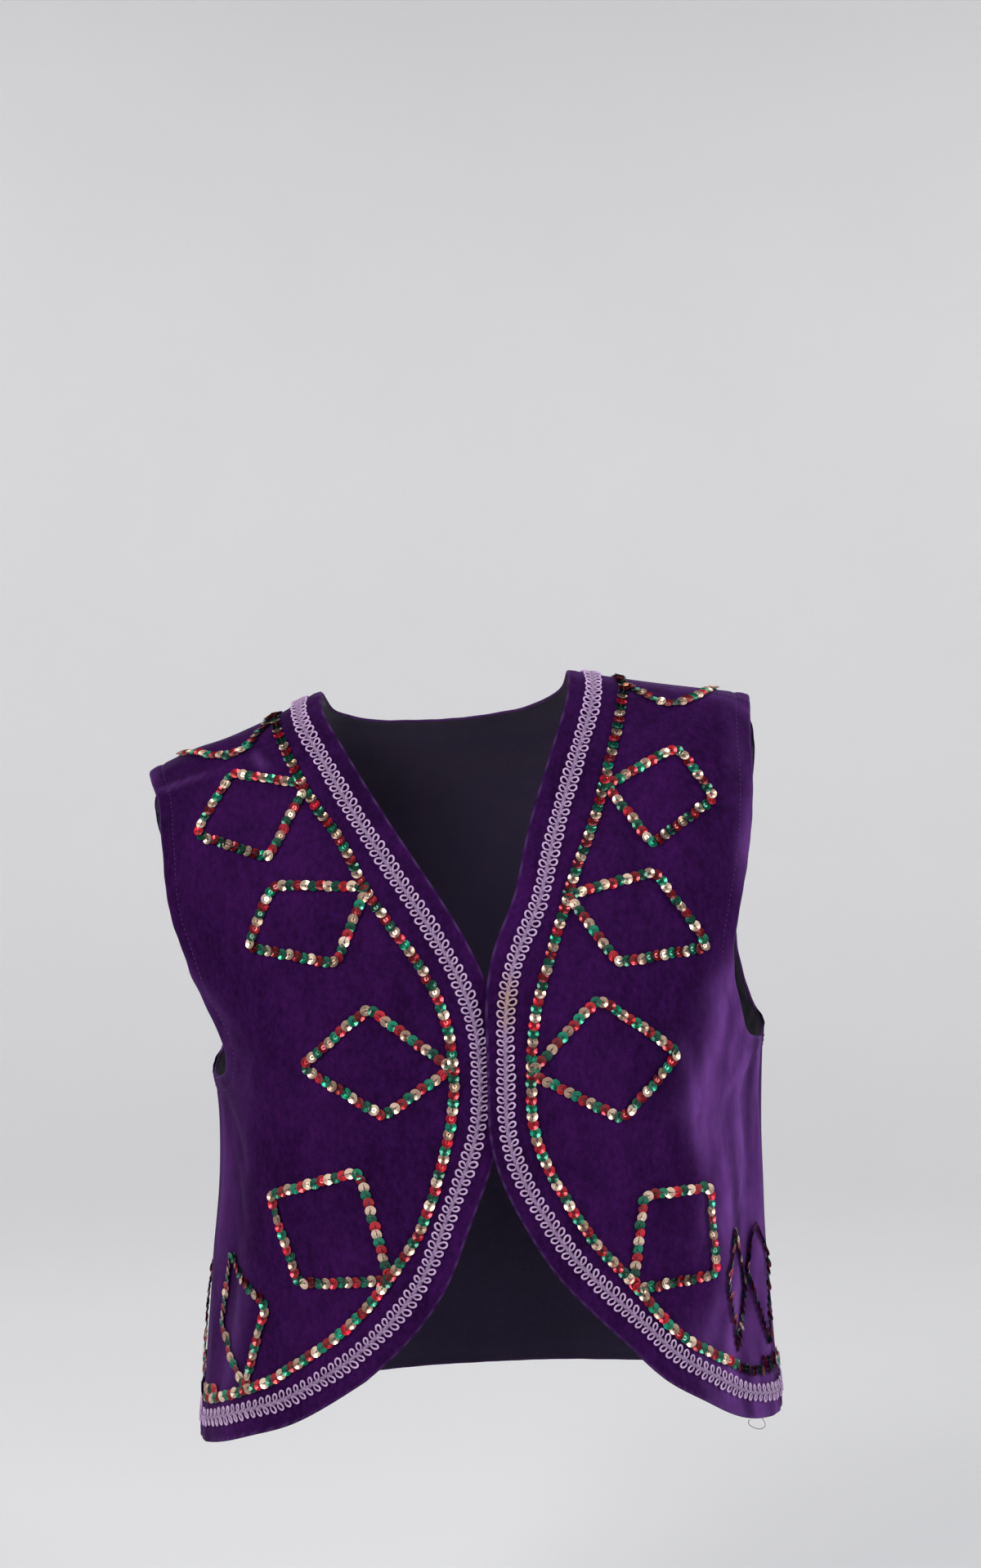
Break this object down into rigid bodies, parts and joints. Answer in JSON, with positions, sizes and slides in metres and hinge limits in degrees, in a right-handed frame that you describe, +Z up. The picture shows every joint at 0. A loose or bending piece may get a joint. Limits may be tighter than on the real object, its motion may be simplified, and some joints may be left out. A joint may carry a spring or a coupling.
{
  "type": "vest",
  "caption": "Cropped sleeveless open-front vest: two rounded cutaway fronts and a back, with braid sewn along the front edges, neck and hem; worn on the upper body.",
  "frame": {"origin": "midway between the neck ends of the two shoulder seams, where the wearer's shoulders hold the vest up", "axes": "+Z up, the front of the vest faces -Y, +X is the wearer's left"},
  "size_m": [0.3378, 0.203, 0.4005],
  "materials": {
    "velvet": "matt deep purple pile with a soft sheen",
    "braid": "lavender twisted yarn with a low lustre"
  },
  "bodies": {
    "root": {"front_right": "velvet", "front_left": "velvet", "back": "velvet", "braid_front_right": "braid", "braid_front_left": "braid", "braid_back_neck": "braid", "braid_back_hem": "braid"}
  },
  "joints": []
}
